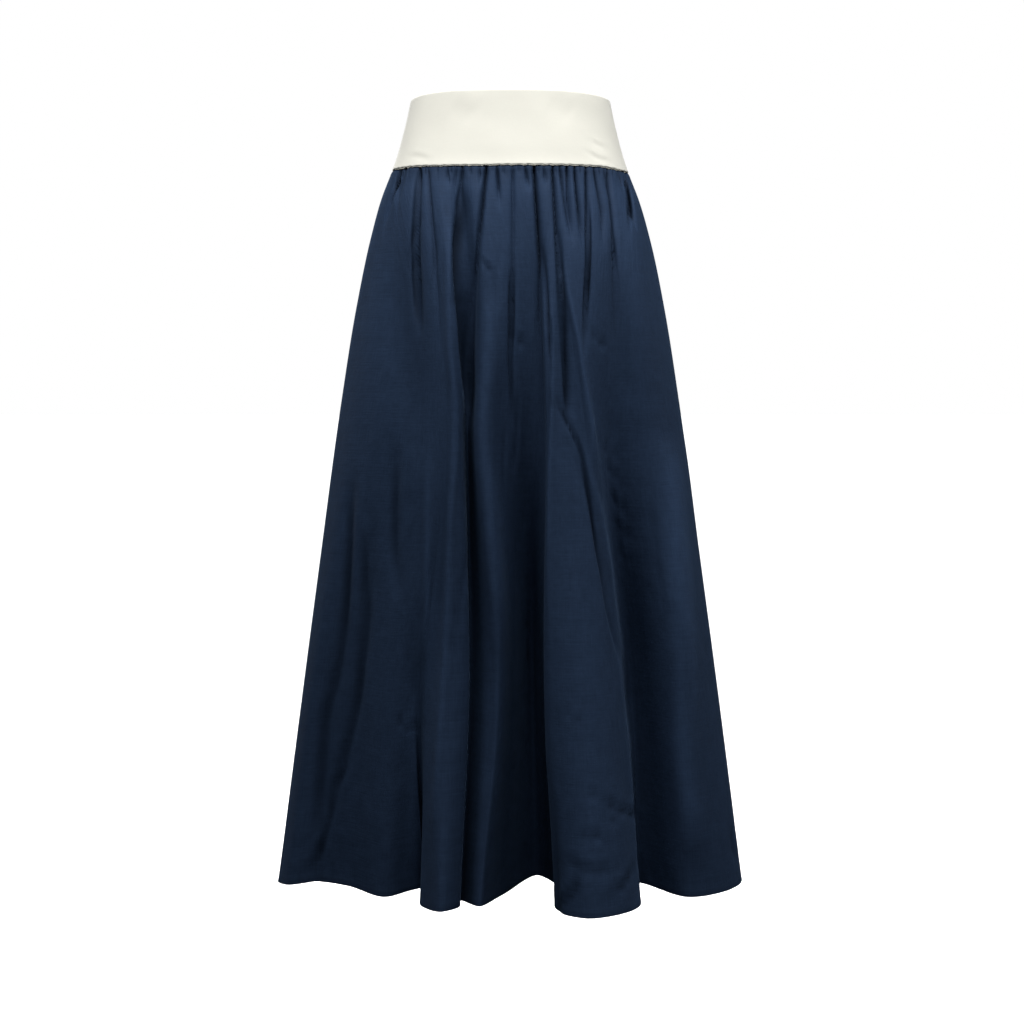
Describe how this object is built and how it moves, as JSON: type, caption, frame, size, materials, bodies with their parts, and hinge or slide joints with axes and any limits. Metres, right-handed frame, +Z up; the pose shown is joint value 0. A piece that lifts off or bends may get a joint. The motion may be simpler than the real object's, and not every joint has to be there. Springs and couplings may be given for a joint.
{
  "type": "a-line maxi skirt",
  "caption": "Ankle-length gathered skirt on a wide shaped waistband, hollow as worn, open at waist and hem.",
  "frame": {"origin": "centre of the waist's opening, level with the waistband's top edge", "axes": "+Z up along the skirt, front towards -Y, the side seam on the right of the picture at +X"},
  "size_m": [0.5724, 0.42, 0.957],
  "materials": {
    "band_cloth": "matt ivory close weave, cut double",
    "skirt_cloth": "crisp dark navy plain weave with a soft sheen"
  },
  "bodies": {
    "root": {"waistband_front": "band_cloth", "waistband_back": "band_cloth", "skirt_front": "skirt_cloth", "skirt_back": "skirt_cloth"}
  },
  "joints": []
}
